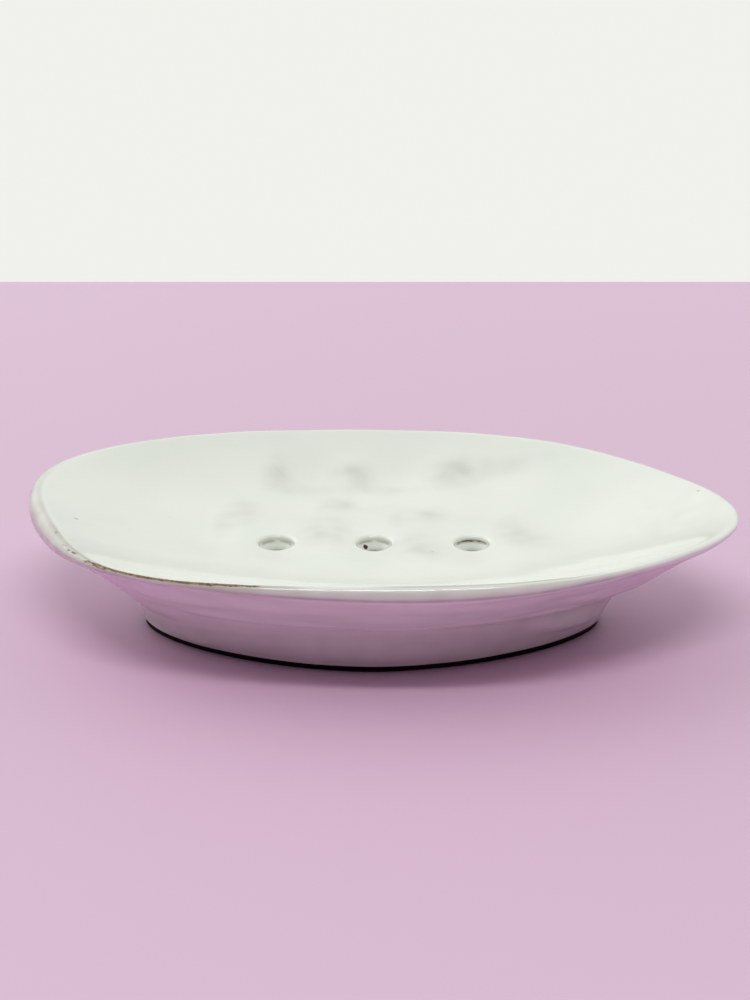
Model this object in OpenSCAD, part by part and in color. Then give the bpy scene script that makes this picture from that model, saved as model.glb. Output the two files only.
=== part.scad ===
/* [Overall] */
// length of the dish over the lip, blunt end to pointed end
dish_length = 160; // [130:1:200]
// width of the dish over the lip
dish_width = 100; // [84:1:124]
// height from the table to the highest place on the lip
dish_height = 28; // [26:0.5:36]

/* [Bowl] */
// rounding of the outer side of the lip, under its pressed edge
lip_round = 1.2; // [1:0.1:2]
// how much fuller the rounding is at the blunt end
lip_full_end = 2.2; // [0:0.1:4]
// how much fuller the rounding is in the middle of the front
lip_full_front = 1.2; // [0:0.1:2]
// height of the basin floor above the table
floor_height = 18.6; // [17:0.1:20]
// thickness of the clay slab under the basin floor
slab_thickness = 5.2; // [4.5:0.1:6]
// length of the flat middle of the basin floor
floor_length = 64; // [60:1:76]
// width of the flat middle of the basin floor
floor_width = 38; // [32:1:44]
// power of the basin curve, higher is flatter in the middle and steeper at the lip
basin_power = 2.1; // [1.6:0.1:3]
// how far the pointed end of the lip hangs below the rest
tip_drop = 1.3; // [0:0.1:3]
// how far the lip sags at the front of the blunt end
lip_sag = 2.1; // [0:0.1:3]
// how much the hand-pressed lip waves up and down
lip_wave = 0.7; // [0:0.1:1.6]

/* [Drain holes] */
// number of drain holes in the row
hole_count = 3; // [1:1:3]
// bore of each drain hole through the glaze
hole_bore = 7.8; // [6:0.1:10]
// distance between the centres of neighbouring holes
hole_pitch = 22; // [18:0.5:23]
// place of the middle hole along the dish
hole_row_x = -1.5; // [-3:0.5:0]
// rounding of the clay where a hole opens into the basin
hole_round = 0.4; // [0.3:0.1:1.4]

/* [Foot] */
// length of the foot at the edge of its glaze
foot_length = 103.5; // [98:0.5:108]
// width of the foot at the edge of its glaze
foot_width = 58; // [54:1:64]
// power of the foot's oval, 2 is a plain ellipse and less is more pointed
foot_power = 1.7; // [1.6:0.05:2.2]
// how far the foot sits toward the blunt end
foot_back_x = 2; // [0:0.1:3]
// how far the foot sits toward the front
foot_front_y = 2.5; // [0:0.1:4]
// height of the pressed crease between foot and flare, on the long sides of the dish
crease_height = 11; // [9.5:0.1:11.5]
// how much lower the crease runs at the two ends
crease_sink = 4.2; // [0:0.1:5]
// how much of that is left out at the pointed end, and added at the blunt end
crease_tilt = 1.2; // [0:0.1:1.4]
// length of the foot along its crease
crease_length = 109; // [106:1:114]
// width of the foot along its crease
crease_width = 66; // [62:1:68]
// length at the luted joint between foot and bowl
joint_length = 127; // [124:1:132]
// width at the luted joint between foot and bowl
joint_width = 72; // [70:0.5:76]
// thickness of the foot wall at the table
foot_wall = 5.2; // [4:0.1:6.5]
// thickness of the foot wall at its top, on the long sides of the dish
foot_top_side = 7.4; // [6:0.1:8]
// thickness of the foot wall at its top, at the two ends of the dish
foot_top_end = 10.6; // [9:0.1:12]
// rounding of the bare clay edge that stands on the table
foot_edge = 1.1; // [0.6:0.1:1.4]
// side of the clay coil pressed into the inner corner of the joint
coil_side = 3.4; // [2.5:0.1:4.5]

/* [Glaze] */
// thickness of the white glaze
glaze = 0.5; // [0.4:0.05:0.7]
// height above the table where the glaze stops
glaze_stop = 1.5; // [1.4:0.1:2]

/* [Hidden] */

// points round each ring of the free-form surfaces
around = 60;
// cutting tools run this far past the clay
overrun = 1;

joint_height = floor_height - glaze - slab_thickness;
half_length = dish_length / 2;
half_width = dish_width / 2;

// plan of the lip: pairs of shares that swell a plain ellipse
// by the cosine and the sine of one to five times the angle
plan_shares = [[-0.079, 0.067], [-0.004, -0.03], [0.017, 0.014], [-0.004, -0.01], [0.019, 0.002]];
// phase of the three waves of the lip
wave_phase = 42;

angles = [for (i = [0 : around - 1]) 360 * i / around];

function swell(a, k = 1) = k > len(plan_shares)
    ? 1
    : plan_shares[k - 1] * [cos(k * a), sin(k * a)] + swell(a, k + 1);

plan_raw = [for (a = angles) swell(a) * [cos(a), sin(a)]];
plan_x = [for (p = plan_raw) p[0]];
plan_y = [for (p = plan_raw) p[1]];
plan_middle = [max(plan_x) + min(plan_x), max(plan_y) + min(plan_y)] / 2;
plan_reach = [max(plan_x) - min(plan_x), max(plan_y) - min(plan_y)] / 2;

// the lip plan, brought to run from -1 to 1 both ways
function lip_plan(i) = [
    (plan_x[i] - plan_middle[0]) / plan_reach[0],
    (plan_y[i] - plan_middle[1]) / plan_reach[1]
];

// the foot's oval, with both half axes 1
function foot_oval(a) =
    [cos(a), sin(a)] / pow(pow(abs(cos(a)), foot_power) + pow(abs(sin(a)), foot_power), 1 / foot_power);

// share of the lip plan in a ring at this height, the rest is the oval of the foot
function lip_share(z) = max(0, min(1, z / dish_height));

// the lip is thin, but fuller at the blunt end and in the middle of the front
blunt_turn = 177;
front_turn = 271;
lip_change_power = 9;
function lip_change(a, middle) = pow(max(0, cos(a - middle)), lip_change_power);
function lip_rounding(a) = max(2 * glaze, lip_round)
    + lip_full_end * lip_change(a, blunt_turn)
    + lip_full_front * lip_change(a, front_turn);

// how far a place on the crease lies under the highest one
function crease_low(a) = crease_sink * pow(cos(a), 2) - crease_tilt * cos(a);

// how far a place on the lip lies under the highest one
sag_turn = 213;
sag_power = 4;
function lip_low(a) = tip_drop * pow(max(0, cos(a)), 2)
    + lip_sag * pow(max(0, cos(a - sag_turn)), sag_power)
    + lip_wave * (1 - sin(3 * a + wave_phase)) / 2;

// only the bowl outside the flat floor and above the joint follows the lip up and down
function lip_follow(reach, z) =
    max(0, min(1, (reach - floor_length / 2) / (half_length - floor_length / 2)))
    * max(0, min(1, (z - joint_height) / (dish_height - joint_height)));

// a row is half length, half width, height, the angle of the outward normal above level,
// the shares of the lip's rounding that it lies inward and down, and its share of the sinking of the crease
function plain_row(length, width, height, normal) = [length, width, height, normal, 0, 0, 0];

function row_point(row, i) =
    let (a = angles[i], m = lip_share(row[2]), r = lip_rounding(a))
    let (p = mix(foot_oval(a), lip_plan(i), m))
    [
        (row[0] - r * row[4]) * p[0] - foot_back_x * (1 - m),
        (row[1] - r * row[4]) * p[1] - foot_front_y * (1 - m),
        row[2] - r * row[5] - lip_low(a) * lip_follow(row[0], row[2]) - crease_low(a) * row[6]
    ];

// a row moved in from its surface by a thickness
function inset(row, by) = [
    row[0] - by * cos(row[3]),
    row[1] - by * cos(row[3]),
    row[2] - by * sin(row[3]),
    row[3],
    row[4],
    row[5],
    row[6]
];

function inset_rows(rows, by) = [for (r = rows) inset(r, by)];

function turned(rows) = [for (i = [len(rows) - 1 : -1 : 0]) rows[i]];

function mix(a, b, s) = a + s * (b - a);

function row_points(rows) = [for (r = rows) for (i = [0 : around - 1]) row_point(r, i)];

function strip(j, k) = [
    for (i = [0 : around - 1])
        let (n = (i + 1) % around, a = j * around, b = k * around)
        each [[a + i, a + n, b + i], [a + n, b + n, b + i]]
];

// closed form between a first and a last row that are each filled in flat
module capped(rows) {
    last = len(rows) - 1;
    middle = len(rows) * around;
    first_cap = [for (i = [0 : around - 1]) [middle, (i + 1) % around, i]];
    below = last * around;
    last_cap = [for (i = [0 : around - 1]) [below + i, below + (i + 1) % around, middle + 1]];
    sides = [for (j = [0 : last - 1]) each strip(j, j + 1)];
    centres = [[0, 0, rows[0][2]], [0, 0, rows[last][2]]];
    polyhedron(points = concat(row_points(rows), centres), faces = concat(first_cap, sides, last_cap));
}

// closed form of rows that come round to the first one again
module hoop(rows) {
    sides = [for (j = [0 : len(rows) - 1]) each strip(j, (j + 1) % len(rows))];
    polyhedron(points = row_points(rows), faces = sides);
}

// normals of the basin at the lip, of the pressed edge, of the start of the lip's rounding and of the flare
basin_turn = 120;
edge_turn = 90;
lip_turn = 75;
flare_turn = -42;
foot_turn = -25;
basin_steps = 7;
lip_steps = 6;
flare_steps = 4;
edge_steps = 3;
seam_turn = -15;

function lip_row(a, normal) =
    [half_length, half_width, dish_height, normal, 1 - cos(a), sin(lip_turn) - sin(a), 0];

// flat floor, then the basin curve up to the pressed edge of the lip
edge_row = lip_row(lip_turn, edge_turn);
basin_rows = [
    for (i = [0 : basin_steps - 1])
        let (s = i / basin_steps, rise = mix(floor_height, dish_height, pow(s, basin_power)))
        [
            mix(floor_length / 2, half_length, s),
            mix(floor_width / 2, half_width, s),
            rise,
            mix(90, basin_turn, s),
            s * edge_row[4],
            0,
            0
        ]
];

// round the lip to the seam of the two glazes, and on to the flare
round_turns = [for (i = [1 : lip_steps]) mix(lip_turn, seam_turn, i / lip_steps)];
top_lip_rows = concat([edge_row], [for (a = round_turns) lip_row(a, a)]);
seam_row = lip_row(seam_turn, seam_turn);
low_turn = (seam_turn + flare_turn) / 2;
low_lip_rows = [lip_row(low_turn, low_turn), lip_row(flare_turn, flare_turn)];

// straight flare from the lip to the luted joint
flare_edge = lip_row(flare_turn, flare_turn);
flare_end = plain_row(joint_length / 2, joint_width / 2, joint_height, flare_turn);
joint_row = plain_row(joint_length / 2, joint_width / 2, joint_height, 0);
flare_rows = [for (i = [1 : flare_steps - 1]) mix(flare_edge, flare_end, i / flare_steps)];

// foot wall from the joint over the crease to the edge of the glaze
crease_turn = -40;
crease_row = [crease_length / 2, crease_width / 2, crease_height, crease_turn, 0, 0, 1];
stop_row = plain_row(foot_length / 2, foot_width / 2, glaze_stop, foot_turn);
foot_rows = [crease_row, mix(crease_row, stop_row, 1 / 3), mix(crease_row, stop_row, 2 / 3), stop_row];

// bare clay edge that stands on the table
edge_rows = [
    for (i = [0 : edge_steps])
        let (a = mix(foot_turn, -90, i / edge_steps), inward = glaze + foot_edge - foot_edge * cos(a))
        plain_row(foot_length / 2 - inward, foot_width / 2 - inward, foot_edge + foot_edge * sin(a), a)
];

// straight inner face of the foot, from the table up to the slab
inner_low = [foot_length / 2 - glaze - foot_wall, foot_width / 2 - glaze - foot_wall];
inner_high = [joint_length / 2 - glaze - foot_top_end, joint_width / 2 - glaze - foot_top_side];
inner_turn = 155;
coil_steps = 3;

function inner_row(z) =
    let (p = mix(inner_low, inner_high, z / joint_height))
    plain_row(p[0], p[1], z, inner_turn);

coil_low = inner_row(joint_height - coil_side);
coil_high = plain_row(inner_high[0] - coil_side, inner_high[1] - coil_side, joint_height, 270);

// hollow face of the coil, from the slab down to the foot wall
coil_rows = [
    for (i = [0 : coil_steps])
        let (s = 90 * i / coil_steps)
        plain_row(
            mix(coil_high[0], coil_low[0], sin(s)),
            mix(coil_high[1], coil_low[1], sin(s)),
            mix(coil_low[2], coil_high[2], cos(s)),
            mix(270, inner_turn, i / coil_steps)
        )
];
inner_stop = inner_row(glaze_stop);
inner_rows = [mix(coil_low, inner_stop, 1 / 2), inner_stop];

// where the inner face turns over to the table
inner_bevel = foot_edge / 2;
bevel_rows = [
    plain_row(inner_low[0] + inner_bevel, inner_low[1] + inner_bevel, 0, -90),
    inner_row(inner_bevel)
];

// profile of a hole with a rounded mouth, from the underside up to a given top
round_steps = 5;
function mouth_curve(r, round, z) = [
    for (i = [0 : round_steps])
        let (s = 90 * i / round_steps)
        [r + round * (1 - cos(s)), z - round + round * sin(s)]
];

module mouth(r, round, z, bottom, top) {
    rotate_extrude($fn = 60)
        polygon(concat([[0, bottom], [r, bottom]], mouth_curve(r, round, z), [[r + round, top], [0, top]]));
}

module at_holes() {
    for (i = [0 : hole_count - 1])
        translate([hole_row_x + (i - (hole_count - 1) / 2) * hole_pitch, 0, 0])
            children();
}

clay_bore = hole_bore / 2 + glaze;
clay_floor = floor_height - glaze;

// pressed clay slab: basin, rounded lip, flare and three holes
module dish_bowl() {
    skin = concat(basin_rows, top_lip_rows, low_lip_rows, flare_rows, [joint_row]);
    color([0.28, 0.17, 0.13])
        difference() {
            capped(inset_rows(skin, glaze));
            at_holes()
                mouth(clay_bore, hole_round, clay_floor, joint_height - overrun, clay_floor + overrun);
        }
}

// tapered oval clay wall under the bowl, with a bare edge on the table
module foot_ring() {
    outside = inset_rows(concat([joint_row], foot_rows), glaze);
    inside = turned(concat([inner_row(joint_height), coil_low], inner_rows));
    color([0.22, 0.13, 0.1])
        hoop(concat(outside, edge_rows, bevel_rows, inside));
}

// clay coil pressed into the inner corner between bowl and foot
module joint_coil() {
    color([0.32, 0.2, 0.15])
        hoop(concat([inner_row(joint_height)], turned(coil_rows)));
}

// glaze over the basin and the top of the lip, lining the holes
module glaze_inside() {
    skin = concat(basin_rows, top_lip_rows);
    color([0.9, 0.92, 0.88])
        difference() {
            union() {
                capped(concat(skin, turned(inset_rows(skin, glaze))));
                at_holes()
                    mouth(clay_bore, hole_round, clay_floor, joint_height, clay_floor + glaze / 2);
            }
            at_holes()
                mouth(
                    hole_bore / 2,
                    hole_round + glaze,
                    floor_height,
                    joint_height - overrun,
                    floor_height + overrun
                );
        }
}

// glaze over the flare and the foot, stopping above the table
module glaze_outside() {
    skin = concat([seam_row], low_lip_rows, flare_rows, [joint_row], foot_rows);
    color([0.84, 0.86, 0.82])
        hoop(concat(skin, turned(inset_rows(skin, glaze))));
}

// glaze under the slab, over the coil and down the inner face of the foot
module glaze_underside() {
    skin = concat(coil_rows, inner_rows);
    color([0.78, 0.8, 0.76])
        difference() {
            capped(concat(skin, turned(inset_rows(skin, -glaze))));
            at_holes()
                translate([0, 0, joint_height])
                    cylinder(h = 2 * (glaze + overrun), r = hole_bore / 2, center = true, $fn = 60);
        }
}

dish_bowl();
foot_ring();
joint_coil();
glaze_inside();
glaze_outside();
glaze_underside();
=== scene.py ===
import math

import bpy
import numpy as np
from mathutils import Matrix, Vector, noise
from mathutils.geometry import delaunay_2d_cdt


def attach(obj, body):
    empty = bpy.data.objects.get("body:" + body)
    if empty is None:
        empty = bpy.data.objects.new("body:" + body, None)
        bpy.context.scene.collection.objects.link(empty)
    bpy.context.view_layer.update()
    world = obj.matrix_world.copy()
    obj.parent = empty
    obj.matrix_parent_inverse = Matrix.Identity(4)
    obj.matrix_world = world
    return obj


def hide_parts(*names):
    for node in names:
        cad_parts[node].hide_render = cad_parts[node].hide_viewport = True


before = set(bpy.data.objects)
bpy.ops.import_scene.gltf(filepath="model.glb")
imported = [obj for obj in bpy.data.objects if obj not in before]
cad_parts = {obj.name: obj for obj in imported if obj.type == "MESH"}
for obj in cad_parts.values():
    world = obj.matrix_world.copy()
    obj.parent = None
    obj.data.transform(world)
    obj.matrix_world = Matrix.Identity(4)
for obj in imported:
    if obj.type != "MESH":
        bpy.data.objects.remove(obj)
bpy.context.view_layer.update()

# Dish bowl. A slab of dark, iron-rich clay, pressed by hand into a shallow pointed saucer.
# Its edge is rolled to a thick lip. Three drain holes are cut through the middle while it is leather-hard.
# All of it is covered by glaze, which takes its shape from the clay.

MM = 0.001
AROUND = 240
HOLE_AROUND = 96

DISH_LENGTH = 160.0
DISH_WIDTH = 100.0
DISH_HEIGHT = 28.0
LIP_ROUND = 1.2
LIP_FULL_END = 2.2
LIP_FULL_FRONT = 1.2
LIP_SHARP = 0.65
FLOOR_HEIGHT = 18.6
FLOOR_LENGTH = 64.0
FLOOR_WIDTH = 38.0
BASIN_POWER = 2.1
TIP_DROP = 1.3
LIP_SAG = 2.1
LIP_WAVE = 0.7
GLAZE = 0.5
SLAB = 5.2
HOLE_RADIUS = 3.9
HOLE_ROUND = 0.4
HOLE_CENTRES = ((-23.5, 0.0), (-1.5, 0.0), (20.5, 0.0))
JOINT_LENGTH = 127.0
JOINT_WIDTH = 72.0
FOOT_POWER = 1.7
FOOT_BACK_X = 2.0
FOOT_FRONT_Y = 2.5
JOINT_HEIGHT = FLOOR_HEIGHT - GLAZE - SLAB
CREASE_DROP = 4.2
CREASE_TILT = 1.2
PLAN_SHARES = ((-0.079, 0.067), (-0.004, -0.030), (0.017, 0.014), (-0.004, -0.010), (0.019, 0.002))

# The plan of the lip: a circle with five waves on it, stretched to the length and width of the dish.
turn = np.linspace(0, 2 * math.pi, AROUND, endpoint=False)
swell = 1 + sum(
    c * np.cos((k + 1) * turn) + s * np.sin((k + 1) * turn)
    for k, (c, s) in enumerate(PLAN_SHARES)
)
plan = np.stack([swell * np.cos(turn), swell * np.sin(turn)], 1)
plan = (plan - (plan.max(0) + plan.min(0)) / 2) / ((plan.max(0) - plan.min(0)) / 2)
oval = np.stack([np.cos(turn), np.sin(turn)], 1)
oval /= (np.abs(oval) ** FOOT_POWER).sum(1)[:, None] ** (1 / FOOT_POWER)


def facing(degrees, power):
    return np.maximum(0, np.cos(turn - math.radians(degrees))) ** power


# How much lower, and how much thicker or sharper, the lip is on its way round.
lip_low = TIP_DROP * facing(0, 2) + LIP_SAG * facing(213, 4)
lip_low += LIP_WAVE * (1 - np.sin(3 * turn + math.radians(42))) / 2
lip_round = LIP_ROUND + LIP_FULL_END * facing(177, 9) + LIP_FULL_FRONT * facing(271, 9)
lip_round = lip_round - LIP_SHARP * facing(226, 12)
crease_low = CREASE_DROP * np.cos(turn) ** 2 - CREASE_TILT * np.cos(turn)


def mix(a, b, s):
    return a + s * (b - a)


def smooth_step(a, b, x):
    s = np.clip((x - a) / (b - a), 0, 1)
    return s * s * (3 - 2 * s)


# One ring of points round the dish: its half length, half width and height, how far inward and down it lies
# on the round of the lip, and its share of the dip of the crease.
def clay_ring(half_length, half_width, height, inward=0.0, down=0.0, sunk=0.0):
    share = min(1.0, max(0.0, height / DISH_HEIGHT))
    follow = min(1.0, max(0.0, (half_length - FLOOR_LENGTH / 2) / ((DISH_LENGTH - FLOOR_LENGTH) / 2)))
    follow *= min(1.0, max(0.0, (height - JOINT_HEIGHT) / (DISH_HEIGHT - JOINT_HEIGHT)))
    flat = mix(oval, plan, share)
    return np.stack([
        (half_length - lip_round * inward) * flat[:, 0] - FOOT_BACK_X * (1 - share),
        (half_width - lip_round * inward) * flat[:, 1] - FOOT_FRONT_Y * (1 - share),
        height - lip_round * down - lip_low * follow - crease_low * sunk,
    ], 1)


# Degrees on the round of the lip where the basin ends, where the two glazes meet and where the flare starts.
LIP_TURN = 75
SEAM_TURN = -15
FLARE_TURN = -42


def lip_row(degrees):
    a = math.radians(degrees)
    down = math.sin(math.radians(LIP_TURN)) - math.sin(a)
    return np.array([DISH_LENGTH / 2, DISH_WIDTH / 2, DISH_HEIGHT, 1 - math.cos(a), down, 0])


FOOT_LENGTH = 103.5
FOOT_WIDTH = 58.0
GLAZE_STOP = 1.5
CREASE_LENGTH = 109.0
CREASE_WIDTH = 66.0
CREASE_HEIGHT = 11.0

# The profile runs from the floor of the basin over the lip and down the wall, to where the glaze stops.
floor_edge = np.array([FLOOR_LENGTH / 2, FLOOR_WIDTH / 2, FLOOR_HEIGHT, 0, 0, 0])
pressed_edge = lip_row(LIP_TURN)
basin = []
for s in np.concatenate([np.linspace(0, 0.94, 30), np.linspace(0.95, 0.993, 7)]):
    row = mix(floor_edge, pressed_edge, s)
    row[2] = mix(FLOOR_HEIGHT, DISH_HEIGHT, s ** BASIN_POWER)
    basin.append(row)
upper_lip = [lip_row(a) for a in np.linspace(LIP_TURN, SEAM_TURN, 19)]
lower_lip = [lip_row(a) for a in np.linspace(SEAM_TURN, FLARE_TURN, 6)[1:]]
joint = np.array([JOINT_LENGTH / 2, JOINT_WIDTH / 2, JOINT_HEIGHT, 0, 0, 0])
crease = np.array([CREASE_LENGTH / 2, CREASE_WIDTH / 2, CREASE_HEIGHT, 0, 0, 1])
glaze_stop = np.array([FOOT_LENGTH / 2, FOOT_WIDTH / 2, GLAZE_STOP, 0, 0, 0])
flare = [mix(lower_lip[-1], joint, s) for s in np.linspace(0, 1, 25)[1:]]
foot = [mix(joint, crease, s) for s in np.linspace(0, 1, 9)[1:-1]]
foot += [mix(crease, glaze_stop, s) for s in np.linspace(0, 1, 14)]
profile = np.array(basin + upper_lip + lower_lip + flare + foot)
EDGE_ROW = len(basin)
SEAM_ROW = EDGE_ROW + len(upper_lip) - 1
JOINT_ROW = SEAM_ROW + len(lower_lip) + len(flare)


# The faces between rows of points, each row with as many points around as the next.
def strip_faces(rows, around, start=0, flip=False, loop=False):
    faces = []
    for r in range(rows if loop else rows - 1):
        a, b = start + r * around, start + ((r + 1) % rows) * around
        for i in range(around):
            n = (i + 1) % around
            face = (a + i, b + i, b + n, a + n)
            faces.append(face[::-1] if flip else face)
    return faces


hole_turn = np.linspace(0, 2 * math.pi, HOLE_AROUND, endpoint=False)


def hole_circle(cx, cy, radius):
    return np.stack([cx + radius * np.cos(hole_turn), cy + radius * np.sin(hole_turn)], 1)


# A flat floor with the three holes in it, in even triangles of one spacing, which keep off its borders.
ROW_STEP = 0.866
INSIDE_SHARE = 0.98
OFF_HOLE = 0.5
OFF_BORDER = 0.55
CUT_WITHIN = 1e-7
HOLE_SLACK = 0.001


def holed_floor(outline, radius, spacing):
    border = outline[:, :2]
    edges = [(i, (i + 1) % len(border)) for i in range(len(border))]
    for cx, cy in HOLE_CENTRES:
        first = len(border)
        border = np.concatenate([border, hole_circle(cx, cy, radius)])
        edges += [(first + i, first + (i + 1) % HOLE_AROUND) for i in range(HOLE_AROUND)]
    points = [Vector(p) for p in border]
    low, high = outline[:, :2].min(0), outline[:, :2].max(0)
    middle = (low + high) / 2
    for j in range(int((high[1] - low[1]) / (spacing * ROW_STEP)) + 1):
        for i in range(int((high[0] - low[0]) / spacing) + 1):
            p = np.array([low[0] + spacing * (i + 0.5 * (j % 2)), low[1] + spacing * ROW_STEP * j])
            way = (p - middle) / (high - middle)
            k = int(round(math.atan2(way[1], way[0]) / (2 * math.pi) * len(outline)))
            edge = outline[k % len(outline), :2] - middle
            if np.dot(p - middle, edge) > np.dot(edge, edge) * INSIDE_SHARE:
                continue
            if any(math.dist(p, centre) < radius + OFF_HOLE * spacing for centre in HOLE_CENTRES):
                continue
            if np.hypot(*(border - p).T).min() < OFF_BORDER * spacing:
                continue
            points.append(Vector(p))
    verts, _, faces, *_ = delaunay_2d_cdt(points, edges, [], 1, CUT_WITHIN)
    flat = np.array([tuple(v) for v in verts])
    for p in border:
        flat[np.argmin(np.hypot(*(flat - p).T))] = p
    in_hole = radius * math.cos(math.pi / HOLE_AROUND) - HOLE_SLACK
    kept = []
    for f in faces:
        c = flat[list(f)].mean(0)
        if all(math.hypot(c[0] - cx, c[1] - cy) > in_hole for cx, cy in HOLE_CENTRES):
            kept.append(tuple(f))
    return flat, kept


# Blocks of points and faces made into one mesh. Points in one cell of WELD millimetres become one point.
WELD = 0.002


def welded(blocks):
    verts, faces, labels, start = [], [], [], 0
    for points, block_faces, label in blocks:
        verts.append(points)
        faces += [tuple(start + i for i in f) for f in block_faces]
        labels += label if isinstance(label, list) else [label] * len(block_faces)
        start += len(points)
    verts = np.concatenate(verts)
    cells = np.round(verts / WELD).astype(np.int64)
    _, first, where = np.unique(cells, axis=0, return_index=True, return_inverse=True)
    where = where.reshape(-1)
    out, out_labels = [], []
    for f, label in zip(faces, labels):
        g = []
        for i in f:
            if where[i] not in g:
                g.append(int(where[i]))
        if len(g) > 2:
            out.append(tuple(g))
            out_labels.append(label)
    return verts[first], out, out_labels, first


# The way that each point of a skin faces: what its faces say, each by its area.
def skin_normals(verts, faces):
    total = np.zeros_like(verts)
    for f in faces:
        p = verts[list(f)]
        n = np.cross(p[1] - p[0], p[2] - p[0])
        if len(f) == 4:
            n = n + np.cross(p[2] - p[0], p[3] - p[0])
        total[list(f)] += n
    return total / np.maximum(1e-12, np.linalg.norm(total, axis=1))[:, None]


# Marks of the potter's fingers in the basin: place, spread each way, and height or depth, in millimetres.
FINGER_MARKS = (
    (-15.5, 34.0, 5.0, 5.5, -0.8), (4.0, 35.0, 6.0, 5.5, -0.9), (27.0, 33.0, 7.0, 5.0, -0.5),
    (-24.5, 34.4, 2.4, 4.0, 0.5), (-6.5, 35.3, 2.6, 3.6, 0.55), (17.0, 35.2, 2.8, 3.6, 0.5),
    (-23.5, -2.5, 3.8, 7.0, -0.7), (-1.5, -2.5, 3.8, 7.0, -0.7), (20.5, -2.5, 3.8, 7.0, -0.7),
    (-12.5, 8.0, 2.6, 8.5, 0.35), (9.5, 7.0, 2.6, 8.5, 0.35), (31.0, 6.0, 3.0, 8.5, 0.3),
    (-32.5, 12.0, 3.4, 8.0, 0.45), (-38.0, 0.0, 5.0, 7.0, -0.4), (-10.0, 20.5, 3.5, 3.0, 0.3),
    (-55.0, 18.0, 9.0, 9.0, -0.4), (50.0, 6.0, 10.0, 11.0, -0.5), (-6.0, -16.0, 12.0, 6.0, -0.3),
)


# What pressing leaves between the marks: the depth and the spread of its broad and of its small waves.
BROAD_WAVE = 0.30
BROAD_SPREAD = 29.0
SMALL_WAVE = 0.10
SMALL_SPREAD = 11.0


def pressed(points, upward):
    push = np.zeros(len(points))
    for k, p in enumerate(points):
        push[k] = BROAD_WAVE * noise.noise(Vector(p) / BROAD_SPREAD)
        push[k] += SMALL_WAVE * noise.noise(Vector(p) / SMALL_SPREAD + Vector((7, 3, 1)))
    x, y = points[:, 0], points[:, 1]
    for cx, cy, wide, long, depth in FINGER_MARKS:
        push += upward * depth * np.exp(-((x - cx) / wide) ** 2 / 2 - ((y - cy) / long) ** 2 / 2)
    return push


# The wall is smoothed lengthwise with a wet finger: long shallow ridges, and one fold at the front right,
# where the clay of the foot was pushed up under the flare. The joint itself keeps its place.
RIDGE = 0.10
SWEEP = 0.5
FOLD_DEPTH = 0.9
FOLD_WIDE = 0.9
FOLD_ROLL_BELOW = 2.9
FOLD_ROLL_WIDE = 1.5
JOINT_PLAY = 0.03
JOINT_PLAY_PER_ROW = 0.10


def smoothed_wall(points):
    push = np.zeros(len(points))
    height = points[:, 2] + np.resize(crease_low, len(points))
    for k, p in enumerate(points):
        ridges = Vector((p[0] / 15, p[1] / 15, height[k] / 2.4 + p[0] / 40))
        sweeps = Vector((p[0] / 16, p[1] / 16, height[k] / 8 + p[0] / 60))
        push[k] = RIDGE * noise.noise(ridges)
        push[k] += SWEEP * noise.noise(sweeps + Vector((5, 2, 8)))
    fold = np.resize(facing(325, 30), len(points))
    push -= FOLD_DEPTH * fold * np.exp(-((height - CREASE_HEIGHT) / FOLD_WIDE) ** 2)
    below_fold = height - CREASE_HEIGHT + FOLD_ROLL_BELOW
    push += FOLD_DEPTH * fold * np.exp(-(below_fold / FOLD_ROLL_WIDE) ** 2)
    from_joint = np.abs(np.repeat(np.arange(len(points) // AROUND), AROUND) - JOINT_ROW)
    return np.maximum(push, -JOINT_PLAY - JOINT_PLAY_PER_ROW * from_joint)


# The corner between basin and lip is rubbed soft: how many times, and where round the lip it is rubbed more.
RUBBED = 1.5
RUBBED_MORE = ((60, 0, 1.2), (14, 150, 6), (24, 198, 12), (6, 90, 4))
ROWS_IN = 9
ROWS_OUT = 12


def softened_edge(grid, passes):
    start = EDGE_ROW - ROWS_IN
    stop = EDGE_ROW + ROWS_OUT
    for k in range(int(passes.max()) + 1):
        share = np.clip(passes - k, 0, 1)[None, :, None]
        eased = (grid[start - 1:stop - 1] + 2 * grid[start:stop] + grid[start + 1:stop + 1]) / 4
        grid[start:stop] += share * (eased - grid[start:stop])


rubbing = np.full(AROUND, RUBBED)
for count, degrees, power in RUBBED_MORE:
    rubbing = rubbing + count * facing(degrees, power)
grid = np.stack([clay_ring(*row) for row in profile])
softened_edge(grid, rubbing)
along = np.gradient(grid, axis=0)
across = np.roll(grid, -1, 1) - np.roll(grid, 1, 1)
grid_normal = np.cross(along, across)
grid_normal /= np.linalg.norm(grid_normal, axis=2)[:, :, None]
grid_normal[0] = (0, 0, 1)
flat_grid, flat_normal = grid.reshape(-1, 3), grid_normal.reshape(-1, 3)
row_of = np.repeat(np.arange(len(profile)), AROUND)
upward = smooth_step(0.3, 0.9, flat_normal[:, 2]) * (row_of <= SEAM_ROW)
grid_push = pressed(flat_grid, upward)
wall = smooth_step(SEAM_ROW + 3, SEAM_ROW + 10, row_of)
wall = wall * smooth_step(len(profile) - 1, len(profile) - 4, row_of)
grid_push += wall * smoothed_wall(flat_grid)
grid_done = flat_grid + flat_normal * grid_push[:, None]
grid_labels = ["inside"] * (SEAM_ROW * AROUND)
grid_labels += ["flare"] * ((JOINT_ROW - SEAM_ROW) * AROUND)
grid_labels += ["foot"] * ((len(profile) - 1 - JOINT_ROW) * AROUND)
skin_blocks = [(grid_done, strip_faces(len(profile), AROUND), grid_labels)]

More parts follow.
